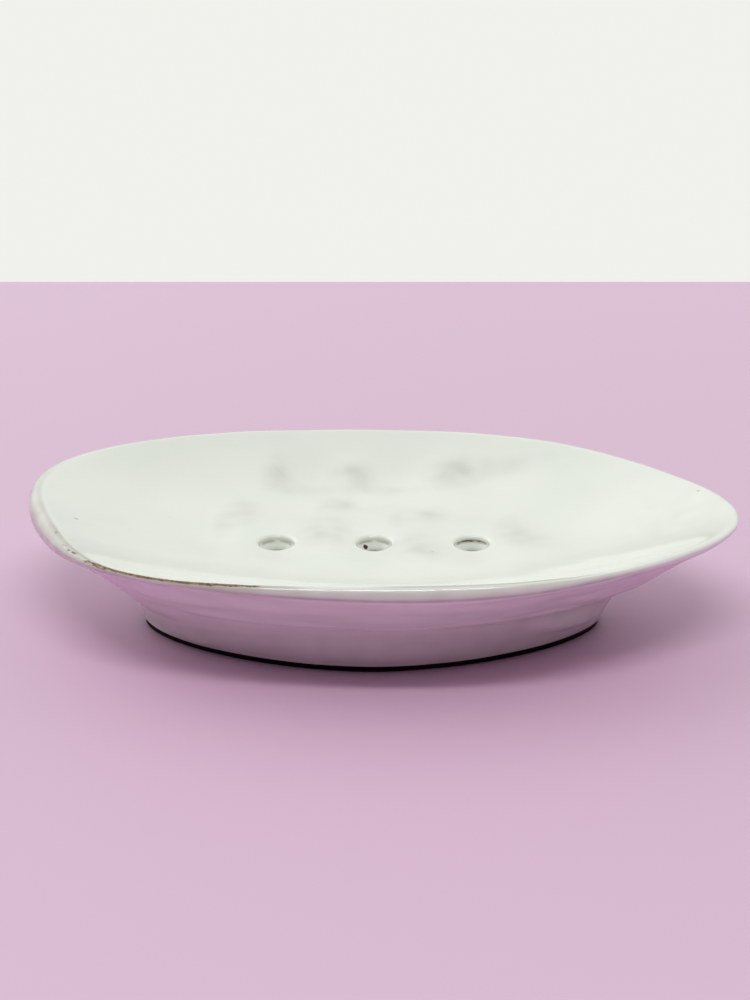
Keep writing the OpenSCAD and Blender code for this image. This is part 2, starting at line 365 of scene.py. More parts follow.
# The drain holes: a flat mouth, a small round, and a bead of glaze that has run half-way down inside.
FLOOR_SPACING = 1.0
MOUTH_FLAT = 0.6
MOUTH_EDGE = HOLE_RADIUS + GLAZE + HOLE_ROUND + MOUTH_FLAT
disc, disc_faces = holed_floor(grid[0], MOUTH_EDGE, FLOOR_SPACING)
disc = np.column_stack([disc, np.full(len(disc), FLOOR_HEIGHT)])
disc[:, 2] += pressed(disc, np.ones(len(disc)))
skin_blocks.append((disc, disc_faces, "inside"))

GLAZE_BEAD = 1.1
BEAD_POWER = 1.5
round_size = HOLE_ROUND + GLAZE
mouth_rows = [(MOUTH_EDGE, FLOOR_HEIGHT), (MOUTH_EDGE - MOUTH_FLAT / 2, FLOOR_HEIGHT)]
for a in np.linspace(90, 0, 13):
    mouth_rows.append((
        HOLE_RADIUS + round_size * (1 - math.cos(math.radians(a))),
        FLOOR_HEIGHT - round_size + round_size * math.sin(math.radians(a)),
    ))
bead_top = mouth_rows[-1][1]
for z in np.linspace(bead_top, JOINT_HEIGHT, 33)[1:]:
    bead = GLAZE_BEAD * math.sin(math.pi * (bead_top - z) / (bead_top - JOINT_HEIGHT)) ** BEAD_POWER
    mouth_rows.append((HOLE_RADIUS - bead, z))
for cx, cy in HOLE_CENTRES:
    rings = []
    for r, z in mouth_rows:
        ring = np.column_stack([hole_circle(cx, cy, r), np.full(HOLE_AROUND, z)])
        level = ring.copy()
        level[:, 2] = FLOOR_HEIGHT
        fade = smooth_step(JOINT_HEIGHT, FLOOR_HEIGHT - 1.0, np.full(HOLE_AROUND, z))
        ring[:, 2] += pressed(level, np.ones(HOLE_AROUND)) * fade
        rings.append(ring)
    faces = strip_faces(len(rings), HOLE_AROUND, flip=True)
    skin_blocks.append((np.concatenate(rings), faces, "inside"))

skin, skin_faces, skin_labels, skin_source = welded(skin_blocks)
skin_normal = skin_normals(skin, skin_faces)
under_skin = skin - GLAZE * skin_normal


def labelled(*names):
    return [f for f, label in zip(skin_faces, skin_labels) if label in names]


def rim_edges(faces):
    seen = {}
    for f in faces:
        for a, b in zip(f, f[1:] + f[:1]):
            seen[(a, b)] = True
    return [(a, b) for (a, b) in seen if (b, a) not in seen]


# Fired clay: a dark body with lighter clouds, and the fine bumps of grog.
CLAY_DARK = (0.016, 0.008, 0.006)
CLAY_LIGHT = (0.06, 0.03, 0.02)
CLAY_GRAIN = 2600


def clay_colour_nodes(material, dark, light, grain):
    material.use_nodes = True
    nodes, links = material.node_tree.nodes, material.node_tree.links
    shader = nodes["Principled BSDF"]
    place = nodes.new("ShaderNodeTexCoord")
    cloud = nodes.new("ShaderNodeTexNoise")
    cloud.inputs["Scale"].default_value = 90
    cloud.inputs["Detail"].default_value = 6
    ramp = nodes.new("ShaderNodeValToRGB")
    ramp.color_ramp.elements[0].position = 0.35
    ramp.color_ramp.elements[0].color = (*dark, 1)
    ramp.color_ramp.elements[1].position = 0.7
    ramp.color_ramp.elements[1].color = (*light, 1)
    grog = nodes.new("ShaderNodeTexVoronoi")
    grog.inputs["Scale"].default_value = grain
    rough = nodes.new("ShaderNodeMapRange")
    rough.inputs["To Min"].default_value = 0.72
    rough.inputs["To Max"].default_value = 0.95
    bump = nodes.new("ShaderNodeBump")
    bump.inputs["Strength"].default_value = 0.5
    bump.inputs["Distance"].default_value = 0.0002
    links.new(place.outputs["Object"], cloud.inputs["Vector"])
    links.new(place.outputs["Object"], grog.inputs["Vector"])
    links.new(cloud.outputs["Fac"], ramp.inputs["Fac"])
    links.new(ramp.outputs["Color"], shader.inputs["Base Color"])
    links.new(grog.outputs["Distance"], rough.inputs["Value"])
    links.new(rough.outputs["Result"], shader.inputs["Roughness"])
    links.new(grog.outputs["Distance"], bump.inputs["Height"])
    links.new(bump.outputs["Normal"], shader.inputs["Normal"])


dark_clay = bpy.data.materials.new("dark_clay")
clay_colour_nodes(dark_clay, CLAY_DARK, CLAY_LIGHT, CLAY_GRAIN)

# Where two faces turn by more degrees than this, the edge between them stays crisp.
ARRIS = 75


def fired_piece(name, verts, faces, material, slot, *nodes, marks=None):
    mesh = bpy.data.meshes.new(name)
    used = sorted({i for f in faces for i in f})
    number = {v: i for i, v in enumerate(used)}
    mesh.from_pydata([tuple(p) for p in verts[used] * MM], [], [[number[i] for i in f] for f in faces])
    mesh.validate()
    mesh.shade_smooth()
    mesh.set_sharp_from_angle(angle=math.radians(ARRIS))
    if marks is not None:
        bare = mesh.attributes.new("bare", "FLOAT", "POINT")
        bare.data.foreach_set("value", marks[used].astype(np.float32))
    piece = bpy.data.objects.new(name, mesh)
    bpy.context.scene.collection.objects.link(piece)
    mesh.materials.append(material)
    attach(piece, "root")
    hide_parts(*nodes)
    return piece


# The clay of the bowl lies under the skin of glaze. Where the foot joins on, its rim is set level.
# Where a hole comes out, within this reach of its middle, the rim is set on a true circle.
HOLE_REACH = 8
UNDERSIDE_SPACING = 2.2
bowl_faces = labelled("inside", "flare")
joint_ring = under_skin.copy()
rim_points = {v for edge in rim_edges(bowl_faces) for v in edge}


def nearest_hole(v):
    return min(HOLE_CENTRES, key=lambda c: math.hypot(skin[v][0] - c[0], skin[v][1] - c[1]))


foot_top = {v for v in rim_points if math.dist(skin[v][:2], nearest_hole(v)) > HOLE_REACH}
for v in foot_top:
    joint_ring[v][2] = JOINT_HEIGHT
for v in rim_points - foot_top:
    cx, cy = nearest_hole(v)
    k = round(math.atan2(skin[v][1] - cy, skin[v][0] - cx) / (2 * math.pi) * HOLE_AROUND) % HOLE_AROUND
    joint_ring[v] = (*hole_circle(cx, cy, HOLE_RADIUS + GLAZE)[k], JOINT_HEIGHT)

# The points of the joint in order round it, by their angle once it is stretched to a circle.
RING_SHARE = 0.53
ordered = sorted(foot_top, key=lambda v: math.atan2(joint_ring[v][1] / RING_SHARE, joint_ring[v][0]))
below, below_faces = holed_floor(joint_ring[ordered], HOLE_RADIUS + GLAZE, UNDERSIDE_SPACING)
below = np.column_stack([below, np.full(len(below), JOINT_HEIGHT)])
bowl_verts, bowl_all, *_ = welded([
    (joint_ring, bowl_faces, "bowl"),
    (below, [f[::-1] for f in below_faces], "bowl"),
])
fired_piece("pressed_bowl", bowl_verts, bowl_all, dark_clay, "dark_clay", "dish_bowl")

# Joint coil. A thin roll of the same clay, pressed with a finger into the corner between bowl and foot.
# It strengthens the luted joint, and is hidden under the glaze of the underside.

FOOT_WALL = 5.2
FOOT_TOP_SIDE = 7.4
FOOT_TOP_END = 10.6
COIL_SIDE = 3.4
inner_low = np.array([FOOT_LENGTH / 2 - GLAZE - FOOT_WALL, FOOT_WIDTH / 2 - GLAZE - FOOT_WALL])
inner_high = np.array([JOINT_LENGTH / 2 - GLAZE - FOOT_TOP_END, JOINT_WIDTH / 2 - GLAZE - FOOT_TOP_SIDE])


def inner_row(z):
    return np.array([*mix(inner_low, inner_high, z / JOINT_HEIGHT), z])


coil_low = inner_row(JOINT_HEIGHT - COIL_SIDE)
coil_high = np.array([inner_high[0] - COIL_SIDE, inner_high[1] - COIL_SIDE, JOINT_HEIGHT])
coil_face = []
for a in np.radians(np.linspace(0, 90, 9)):
    coil_face.append(np.array([
        mix(coil_high[0], coil_low[0], math.sin(a)),
        mix(coil_high[1], coil_low[1], math.sin(a)),
        mix(coil_low[2], coil_high[2], math.cos(a)),
    ]))
coil_rows = [inner_row(JOINT_HEIGHT)] + coil_face[::-1]
coil_points = np.concatenate([clay_ring(*r) for r in coil_rows])
coil_verts, coil_faces, *_ = welded([(coil_points, strip_faces(len(coil_rows), AROUND, loop=True), "coil")])
fired_piece("pressed_coil", coil_verts, coil_faces, dark_clay, "dark_clay", "joint_coil")

# Foot ring. A tapered oval wall of the same clay, luted under the bowl with slip and smoothed at the crease.
# Its lower edge is wiped clean of glaze, so that it doesn't stick in the kiln, and stands on the table.

FOOT_EDGE = 0.5
# The wiped edge is dark clay, painted near black so that it also stands for the shade under the foot.
FOOT_CLAY_SHADE_DARK = (0.004, 0.0015, 0.0015)
FOOT_CLAY_SHADE_LIGHT = (0.014, 0.006, 0.005)
bare_clay = bpy.data.materials.new("bare_foot_clay")
clay_colour_nodes(bare_clay, FOOT_CLAY_SHADE_DARK, FOOT_CLAY_SHADE_LIGHT, CLAY_GRAIN)
bare_clay.node_tree.nodes["Principled BSDF"].inputs["Specular IOR Level"].default_value = 0.15
edge_rows = []
for a in np.radians(np.linspace(-25, -90, 7)):
    edge_rows.append(np.array([
        FOOT_LENGTH / 2 - GLAZE - FOOT_EDGE + FOOT_EDGE * math.cos(a),
        FOOT_WIDTH / 2 - GLAZE - FOOT_EDGE + FOOT_EDGE * math.cos(a),
        FOOT_EDGE + FOOT_EDGE * math.sin(a),
    ]))
edge_rows.append(np.array([inner_low[0] + FOOT_EDGE / 2, inner_low[1] + FOOT_EDGE / 2, 0.0]))
inside_rows = [inner_row(FOOT_EDGE / 2), inner_row(GLAZE_STOP)]
inside_rows += [inner_row(z) for z in np.linspace(GLAZE_STOP, coil_low[2], 6)[1:]]
inside_rows += [inner_row(JOINT_HEIGHT)]


# The numbers that these points have in the joined skin.
def skin_numbers(points):
    return [int(np.argmin(np.linalg.norm(skin - p, axis=1))) for p in points]


stop_points = under_skin[skin_numbers(grid_done[-AROUND:])]
top_points = joint_ring[skin_numbers(grid_done[JOINT_ROW * AROUND:(JOINT_ROW + 1) * AROUND])]
lower = np.concatenate([stop_points] + [clay_ring(*r) for r in edge_rows + inside_rows] + [top_points])
foot_verts, foot_faces, *_ = welded([
    (joint_ring, labelled("foot"), "foot"),
    (lower, strip_faces(len(lower) // AROUND, AROUND), "foot"),
])
fired_piece("foot_wall", foot_verts, foot_faces, bare_clay, "dark_clay", "foot_ring")

# Glaze underneath. White glaze, poured into the hollow foot and swilled round before the outside is dipped.
# It covers the slab, the coil and the inner face of the foot, and stops above the wiped edge.

GLAZE_WHITE = (0.775, 0.814, 0.737)
GLAZE_PALER = (0.803, 0.839, 0.765)
# Pooled glaze: the cream of thick glaze, painted paler still as painted light on the hole walls.
GLAZE_POOLED_AND_LIT = (0.94, 0.945, 0.90)
# One grey tint: thin glaze, painted shade in the basin, on the lip face and in the fold, and the greyer
# crown and lower foot.
GLAZE_THIN_AND_SHADE = (0.43, 0.41, 0.35)
BODY_BROWN = (0.085, 0.040, 0.018)
BODY_TAN = (0.33, 0.20, 0.10)
SPOT_BLACK = (0.010, 0.006, 0.005)
GLAZE_IOR = 1.52
THIN_SHARE = 0.74
white_glaze = bpy.data.materials.new("white_glaze")
white_glaze.use_nodes = True
nodes, links = white_glaze.node_tree.nodes, white_glaze.node_tree.links
shader = nodes["Principled BSDF"]
shader.inputs["IOR"].default_value = GLAZE_IOR
place = nodes.new("ShaderNodeTexCoord")


def glaze_noise(scale, detail, stretch=None):
    texture = nodes.new("ShaderNodeTexNoise")
    texture.inputs["Scale"].default_value = scale
    texture.inputs["Detail"].default_value = detail
    if stretch:
        squash = nodes.new("ShaderNodeMapping")
        squash.inputs["Scale"].default_value = stretch
        links.new(place.outputs["Object"], squash.inputs["Vector"])
        links.new(squash.outputs["Vector"], texture.inputs["Vector"])
    else:
        links.new(place.outputs["Object"], texture.inputs["Vector"])
    return texture.outputs["Fac"]


def glaze_range(value, low, high, to_low, to_high):
    span = nodes.new("ShaderNodeMapRange")
    for socket, number in zip(("From Min", "From Max", "To Min", "To Max"), (low, high, to_low, to_high)):
        span.inputs[socket].default_value = number
    links.new(value, span.inputs["Value"])
    return span.outputs["Result"]


def glaze_mix(share, first, second):
    blend = nodes.new("ShaderNodeMix")
    blend.data_type = "RGBA"
    links.new(share, blend.inputs["Factor"])
    for socket, colour in ((blend.inputs[6], first), (blend.inputs[7], second)):
        if isinstance(colour, tuple):
            socket.default_value = (*colour, 1)
        else:
            links.new(colour, socket)
    return blend.outputs[2]


def glaze_math(operation, *values):
    step = nodes.new("ShaderNodeMath")
    step.operation = operation
    for socket, value in zip(step.inputs, values):
        if isinstance(value, (int, float)):
            socket.default_value = value
        else:
            links.new(value, socket)
    return step.outputs[0]


# The attribute of marks says how the glaze looks: below 0 thick pooled glaze, painted paler as painted
# light, up to 0.42 ever thinner glaze and painted shade in one grey tint, from about 0.45 brown clay in
# ragged spots, and above 2 black.
THIN_FROM = 0.02
THIN_TO = 0.42
RAGGED_FROM = 0.52
RAGGED_TO = 1.0
BLACK_FROM = 2.0
BLACK_TO = 2.6
NOISE_LOW = 0.35
NOISE_HIGH = 0.65
cloudy = glaze_range(glaze_noise(34, 3), NOISE_LOW, NOISE_HIGH, 0, 1)
body = glaze_mix(cloudy, GLAZE_WHITE, GLAZE_PALER)
bare = nodes.new("ShaderNodeAttribute")
bare.attribute_name = "bare"
# Hole walls take the pooled colour: thick glaze, and painted light where little light reaches them.
pooled_and_lit = glaze_range(bare.outputs["Fac"], 0.0, -1.0, 0, 1)
body = glaze_mix(pooled_and_lit, body, GLAZE_POOLED_AND_LIT)
# Thin glaze and painted shade share this grey tint.
thin_glaze_and_shade = glaze_range(bare.outputs["Fac"], THIN_FROM, THIN_TO, 0, THIN_SHARE)
body = glaze_mix(thin_glaze_and_shade, body, GLAZE_THIN_AND_SHADE)
ragged = glaze_range(glaze_noise(620, 5, (1, 1, 2.5)), NOISE_LOW, NOISE_HIGH, RAGGED_FROM, RAGGED_TO)
broken = glaze_range(glaze_math("SUBTRACT", bare.outputs["Fac"], ragged), -0.08, 0.1, 0, 1)
clay_grains = glaze_range(glaze_noise(1500, 3), NOISE_LOW, NOISE_HIGH, 0, 1)
clay_showing = glaze_mix(clay_grains, BODY_BROWN, BODY_TAN)
in_black_spot = glaze_range(bare.outputs["Fac"], BLACK_FROM, BLACK_TO, 0, 1)
clay_showing = glaze_mix(in_black_spot, clay_showing, SPOT_BLACK)

# Pinholes, where a bubble broke in the kiln: one cell in five has one, and pooled glaze has none.
PINHOLES_PER_METRE = 62
PINHOLE_SIZE = 0.018
PINHOLE_SHARE = 0.8
pinholes = nodes.new("ShaderNodeTexVoronoi")
pinholes.inputs["Scale"].default_value = PINHOLES_PER_METRE
links.new(place.outputs["Object"], pinholes.inputs["Vector"])
pin_colour = nodes.new("ShaderNodeSeparateColor")
links.new(pinholes.outputs["Color"], pin_colour.inputs["Color"])
pin = glaze_math("LESS_THAN", pinholes.outputs["Distance"], PINHOLE_SIZE)
pin = glaze_math("MULTIPLY", pin, glaze_math("GREATER_THAN", pin_colour.outputs[0], PINHOLE_SHARE))
pin = glaze_math("MULTIPLY", pin, glaze_math("GREATER_THAN", bare.outputs["Fac"], -0.01))
marked = glaze_math("MAXIMUM", broken, glaze_math("MULTIPLY", pin, 0.75))

# Specks of iron in the glaze: place in millimetres, size and strength.
SPECKS = (
    (-68.3, -0.3, 24.0, 0.42, 0.5), (-43.4, 24.0, 21.3, 0.34, 0.35), (-48.2, 11.3, 20.0, 0.34, 0.3),
    (-22.2, -8.3, 18.6, 0.34, 0.45), (72.3, 11.8, 26.0, 0.36, 0.35), (30.0, -47.5, 25.6, 0.45, 0.7),
    (-73.0, 18.0, 25.0, 0.36, 0.3), (11.5, -6.5, 18.6, 0.3, 0.25),
)
for x, y, z, size, strength in SPECKS:
    away = nodes.new("ShaderNodeVectorMath")
    away.operation = "DISTANCE"
    away.inputs[1].default_value = (x * MM, y * MM, z * MM)
    links.new(place.outputs["Object"], away.inputs[0])
    speck = glaze_range(away.outputs["Value"], size * 1.4 * MM, size * 0.5 * MM, 0, strength)
    marked = glaze_math("MAXIMUM", marked, speck)
links.new(glaze_mix(marked, body, clay_showing), shader.inputs["Base Color"])

# The glaze is glossy, with a faint orange peel. Where clay shows it is rougher and lies a little deeper.
gloss = glaze_range(glaze_noise(120, 4), 0.3, 0.7, 0.07, 0.15)
links.new(glaze_math("ADD", gloss, glaze_math("MULTIPLY", marked, 0.45)), shader.inputs["Roughness"])
peel = nodes.new("ShaderNodeBump")
peel.inputs["Strength"].default_value = 0.25
peel.inputs["Distance"].default_value = 0.0003
links.new(glaze_noise(170, 2), peel.inputs["Height"])
wiped = nodes.new("ShaderNodeBump")
wiped.inputs["Strength"].default_value = 0.5
wiped.inputs["Distance"].default_value = -0.0004
links.new(marked, wiped.inputs["Height"])
links.new(peel.outputs["Normal"], wiped.inputs["Normal"])
links.new(wiped.outputs["Normal"], shader.inputs["Normal"])


# A coat of glaze: its outer face, its inner face on the clay, and the rims between the two.
def glaze_shell(outer, inner, faces):
    count = len(outer)
    shell = list(faces) + [tuple(count + i for i in f[::-1]) for f in faces]
    shell += [(b, a, count + a, count + b) for a, b in rim_edges(faces)]
    return np.concatenate([outer, inner]), shell


HOLLOW_SPACING = 1.8
hollow_rows = coil_face + inside_rows[1:-1][::-1][1:]
hollow_points = np.concatenate([clay_ring(*r) for r in hollow_rows])
slab_disc, slab_faces = holed_floor(hollow_points[:AROUND], HOLE_RADIUS, HOLLOW_SPACING)
slab_disc = np.column_stack([slab_disc, np.full(len(slab_disc), JOINT_HEIGHT)])
hollow, hollow_faces, *_ = welded([
    (hollow_points, strip_faces(len(hollow_rows), AROUND, flip=True), "hollow"),
    (slab_disc, [f[::-1] for f in slab_faces], "hollow"),
])
hollow_normal = skin_normals(hollow, hollow_faces)
under_verts, under_faces = glaze_shell(hollow + GLAZE * hollow_normal, hollow, hollow_faces)
WIPED_EDGE = 0.7
WIPED_REACH = 1.6
wiped_marks = WIPED_EDGE * smooth_step(GLAZE_STOP + WIPED_REACH, GLAZE_STOP, hollow[:, 2])
fired_piece("glaze_of_hollow", under_verts, under_faces, white_glaze, "white_glaze", "glaze_underside",
            marks=np.concatenate([wiped_marks] * 2))

# Glaze inside. White tin glaze, poured into the basin, run down the drain holes and wiped round the lip.
# It is thin on sharp edges, where brown clay shows: the left front of the lip and the far rims of the holes.

inside_faces = labelled("inside")
angle = np.degrees(turn)


def lip_part(start, full, fading, end):
    return smooth_step(start, full, angle) * (1 - smooth_step(fading, end, angle))


left_front = lip_part(208, 222, 238, 258)
worn_corner = lip_part(182, 196, 212, 226)
front = lip_part(262, 272, 298, 312)
long_front = lip_part(228, 244, 300, 326)
blunt_end = lip_part(140, 165, 200, 212)
left_end = lip_part(168, 182, 200, 210)
from_edge = np.cumsum(np.linalg.norm(np.diff(grid, axis=0, prepend=grid[:1]), axis=2), axis=0)
from_edge -= from_edge[EDGE_ROW]
under_lip = from_edge - from_edge[SEAM_ROW]
below_joint = (np.arange(len(profile)) - JOINT_ROW)[:, None]


def band(distance, middle, wide):
    return np.exp(-((distance - middle) / wide) ** 2)


# The crown of the lip at its blunt end is painted greyer. No clay shows there.
WORN_MOST = 0.40
on_lip = smooth_step(-1.2, 0.4, from_edge)
crown = on_lip * smooth_step(7.0, 4.5, from_edge)
lip_wear_and_grey_crown = WORN_MOST * on_lip * smooth_step(3.6, 1.6, from_edge) * worn_corner
lip_wear_and_grey_crown += 0.27 * crown * blunt_end
lip_wear_and_grey_crown += 0.24 * crown * left_end
grid_marks = np.minimum(lip_wear_and_grey_crown, WORN_MOST)

# Lines along the edge of the lip where the clay shows: strength, place, spread, and the part of the lip.
EDGE_LINES = (
    (1.35, 0.35, 0.36, left_front),
    (0.26, 1.1, 0.6, left_front),
    (0.17, 0.8, 0.8, worn_corner),
    (0.60, 0.25, 0.25, front),
)
for strength, place_on_lip, wide, part in EDGE_LINES:
    grid_marks += strength * band(from_edge, place_on_lip, wide) * part

# Under the lip a darker line just below where the two coats meet, and painted shade on the lip's front face;
# the foot darker towards the table; painted shade in the fold at the front right.
UNDER_LIP_LINE = 0.27
LIP_FACE_SHADE = 0.18
FOOT_DARKENING = 0.16
FOLD_SHADE_LINE = 0.26
# A thin darker line just under the lip, below where the two coats meet.
grid_marks += UNDER_LIP_LINE * band(under_lip, 0.2, 0.5) * long_front
# Painted shade on the front face of the lip, which faces forward and gets less light than the basin.
grid_marks += LIP_FACE_SHADE * smooth_step(0.6, 1.2, from_edge) * smooth_step(0.6, 0.0, under_lip) * long_front
# The foot gets darker towards the table.
grid_marks += FOOT_DARKENING * smooth_step(6, 11, below_joint)
# Painted shade in the fold at the front right, where the flare hangs over the foot.
grid_marks += FOLD_SHADE_LINE * band(below_joint, 7.5, 1.6) * facing(322, 14)
marks_source = np.zeros(sum(len(block[0]) for block in skin_blocks))
marks_source[:len(flat_grid)] = grid_marks.reshape(-1)
skin_marks = marks_source[skin_source]

# Grey clouds painted in the basin as painted shade of the finger marks: place, spread each way, and
# strength.
PAINTED_SHADE_CLOUDS = (
    (-24.5, 34.4, 2.5, 4.2, 0.31), (-6.5, 35.3, 3.4, 3.2, 0.36), (17.0, 35.2, 3.8, 3.4, 0.33),
    (27.0, 36.0, 9.0, 2.6, 0.18), (-17.5, 28.5, 5.0, 1.8, 0.22), (1.0, 29.4, 7.0, 1.6, 0.22),
    (-10.0, 20.5, 3.6, 3.0, 0.28), (-31.5, 16.0, 2.6, 4.4, 0.28), (-13.0, 4.5, 4.6, 5.5, 0.26),
    (4.5, 13.6, 1.8, 3.6, 0.24), (11.5, 15.5, 3.4, 3.0, 0.22), (6.5, -2.0, 4.4, 5.0, 0.26),
    (29.4, 8.0, 2.4, 5.0, 0.20), (33.0, 1.3, 4.4, 4.0, 0.20), (11.2, -7.1, 3.0, 3.0, 0.16),
    (-36.0, 9.0, 1.8, 5.0, 0.18), (66.0, 0.0, 11.0, 12.0, 0.13),
)
RIPPLE_SIZE = 3.5
RIPPLE_IN_WEAR = 0.35
SHADE_CLOUD_STRENGTH = 0.53
RIPPLE_IN_SHADE_CLOUDS = 0.36
# cloud: the painted shade of the grey clouds, added to the marks in the basin.
cloud = np.zeros(len(skin))
for x, y, wide, long, amount in PAINTED_SHADE_CLOUDS:
    cloud += amount * np.exp(-((skin[:, 0] - x) / wide) ** 2 / 2 - ((skin[:, 1] - y) / long) ** 2 / 2)
ripple = np.array([noise.noise(Vector(p) / RIPPLE_SIZE) for p in skin])
skin_marks *= np.where(skin_marks < 0.6, 1 + RIPPLE_IN_WEAR * ripple, 1)
in_basin = (skin_normal[:, 2] > 0.7) & (skin[:, 2] > FLOOR_HEIGHT - 2)
skin_marks += np.where(in_basin, cloud * (SHADE_CLOUD_STRENGTH + RIPPLE_IN_SHADE_CLOUDS * ripple), 0)

# A thin brown line on the far wall of each hole: its strength from left to right, its height and its spread.
HOLE_WEAR = ((0.62, 0.55, 0.0, 0.5, 0.75), (0.5, 0.45, 0.1, 0.45, 0.7), (0.75, 1.0, 0.95, 0.9, 0.8))
WEAR_PLACES = (-0.8, -0.3, 0.0, 0.5, 0.8)
WEAR_HEIGHT = 16.9
WEAR_SPREAD = 0.28
WEAR_REACH = 6.5
for (cx, cy), wear in zip(HOLE_CENTRES, HOLE_WEAR):
    reach = np.hypot(skin[:, 0] - cx, skin[:, 1] - cy)
    behind = smooth_step(0.35, 0.6, (skin[:, 1] - cy) / np.maximum(reach, 0.1))
    line = np.exp(-((skin[:, 2] - WEAR_HEIGHT) / WEAR_SPREAD) ** 2)
    across_hole = np.interp((skin[:, 0] - cx) / HOLE_RADIUS, WEAR_PLACES, wear)
    skin_marks = np.maximum(skin_marks, across_hole * behind * line * (reach < WEAR_REACH))

# Thick cream glaze on the walls of the holes, painted paler still as painted light where little light
# reaches in, and one black spot in the middle hole.
HOLE_ROW_LONG = 60
HOLE_ROW_WIDE = 12
in_holes = (skin_normal[:, 2] < 0.5) & (skin[:, 2] > JOINT_HEIGHT - 0.5)
in_holes &= (np.abs(skin[:, 0]) < HOLE_ROW_LONG / 2) & (np.abs(skin[:, 1]) < HOLE_ROW_WIDE / 2)
skin_marks = np.where(in_holes & (skin_marks < 0.15), -1.0, skin_marks)
# One black spot on the far wall of the middle hole.
BLACK_SPOT = (-3.5, 2.5, 15.9)
BLACK_SPOT_SIZE = 0.55
BLACK_SPOT_LEVEL = 3.0
from_black_spot = np.linalg.norm(skin - np.array(BLACK_SPOT), axis=1)
skin_marks = np.maximum(skin_marks, BLACK_SPOT_LEVEL * smooth_step(BLACK_SPOT_SIZE * 1.1, BLACK_SPOT_SIZE * 0.8, from_black_spot))
inside_verts, inside_shell = glaze_shell(skin, under_skin, inside_faces)
fired_piece("glaze_of_basin", inside_verts, inside_shell, white_glaze, "white_glaze", "glaze_inside",
            marks=np.concatenate([skin_marks] * 2))

# Glaze outside. The same glaze, laid on by dipping the dish upside down, over the flare and the foot.
# It meets the inside glaze under the lip and is wiped off just above the table.

outside_verts, outside_shell = glaze_shell(skin, under_skin, labelled("flare", "foot"))
fired_piece("glaze_of_wall", outside_verts, outside_shell, white_glaze, "white_glaze", "glaze_outside",
            marks=np.concatenate([skin_marks] * 2))

# Floor and backdrop: a pale lilac table top that ends behind the dish, and a plain white wall beyond it.
# The table keeps the shadow of the dish. The wall is white to the eye and throws no light on the dish.

TABLE_LILAC = (0.622, 0.425, 0.567)
# The far colour is paler: painted sheen at the back of the table; the deeper lilac near the dish is painted
# shade.
TABLE_FAR_SHEEN = (0.75, 0.542, 0.685)
TABLE_THROWN = (0.74, 0.445, 0.68)
TABLE_SIDE = 1.6
TABLE_FRONT = -1.2
TABLE_BACK = 0.262
FADE_FROM = -0.05
FADE_TO = 0.26
WALL_WHITE = (0.872, 0.881, 0.838)
WALL_AWAY = 2.2


# A flat sheet. The camera sees its colour, and other rays meet the thrown colour instead.
# A sheet with no thrown colour glows for the camera, and other rays pass through it.
def stage_sheet(name, corners, colour, far_sheen_colour=None, thrown=None):
    mesh = bpy.data.meshes.new(name)
    mesh.from_pydata(corners, [], [(0, 1, 2, 3)])
    sheet = bpy.data.objects.new(name, mesh)
    bpy.context.scene.collection.objects.link(sheet)
    material = bpy.data.materials.new(name)
    material.use_nodes = True
    tree = material.node_tree
    matt = tree.nodes["Principled BSDF"]
    matt.inputs["Base Color"].default_value = (*colour, 1)
    matt.inputs["Roughness"].default_value = 0.5
    matt.inputs["Specular IOR Level"].default_value = 1.0
    # The colour fades to the far colour towards the back: painted sheen far off, painted shade near the
    # dish.
    if far_sheen_colour:
        spot = tree.nodes.new("ShaderNodeTexCoord")
        parts = tree.nodes.new("ShaderNodeSeparateXYZ")
        sheen_towards_back = tree.nodes.new("ShaderNodeMapRange")
        sheen_towards_back.inputs["From Min"].default_value = FADE_FROM
        sheen_towards_back.inputs["From Max"].default_value = FADE_TO
        fade = tree.nodes.new("ShaderNodeMix")
        fade.data_type = "RGBA"
        fade.inputs[6].default_value = (*colour, 1)
        fade.inputs[7].default_value = (*far_sheen_colour, 1)
        tree.links.new(spot.outputs["Object"], parts.inputs["Vector"])
        tree.links.new(parts.outputs["Y"], sheen_towards_back.inputs["Value"])
        tree.links.new(sheen_towards_back.outputs["Result"], fade.inputs["Factor"])
        tree.links.new(fade.outputs[2], matt.inputs["Base Color"])
    if thrown:
        unseen = tree.nodes.new("ShaderNodeBsdfDiffuse")
        unseen.inputs["Color"].default_value = (*thrown, 1)
        seen = matt
    else:
        unseen = tree.nodes.new("ShaderNodeBsdfTransparent")
        seen = tree.nodes.new("ShaderNodeEmission")
        seen.inputs["Color"].default_value = (*colour, 1)
    path = tree.nodes.new("ShaderNodeLightPath")
    choose = tree.nodes.new("ShaderNodeMixShader")
    tree.links.new(path.outputs["Is Camera Ray"], choose.inputs[0])
    tree.links.new(unseen.outputs[0], choose.inputs[1])
    tree.links.new(seen.outputs[0], choose.inputs[2])
    tree.links.new(choose.outputs[0], tree.nodes["Material Output"].inputs["Surface"])
    mesh.materials.append(material)
    return sheet


table_corners = [
    (-TABLE_SIDE, TABLE_FRONT, 0),
    (TABLE_SIDE, TABLE_FRONT, 0),
    (TABLE_SIDE, TABLE_BACK, 0),
    (-TABLE_SIDE, TABLE_BACK, 0),
]
stage_sheet("table_top", table_corners, TABLE_LILAC, far_sheen_colour=TABLE_FAR_SHEEN, thrown=TABLE_THROWN)
wall_corners = [(-4, WALL_AWAY, -1.6), (4, WALL_AWAY, -1.6), (4, WALL_AWAY, 4.0), (-4, WALL_AWAY, 4.0)]
stage_sheet("white_wall", wall_corners, WALL_WHITE)

# Light: a soft sky, brighter in broad patches with no edge, so that the glaze mirrors no edge of a lamp,
# and a small lamp above the front for the thin glints on the lip.
# Each patch has the way to its middle, the power that sets how broad it is, and the strength of its light.

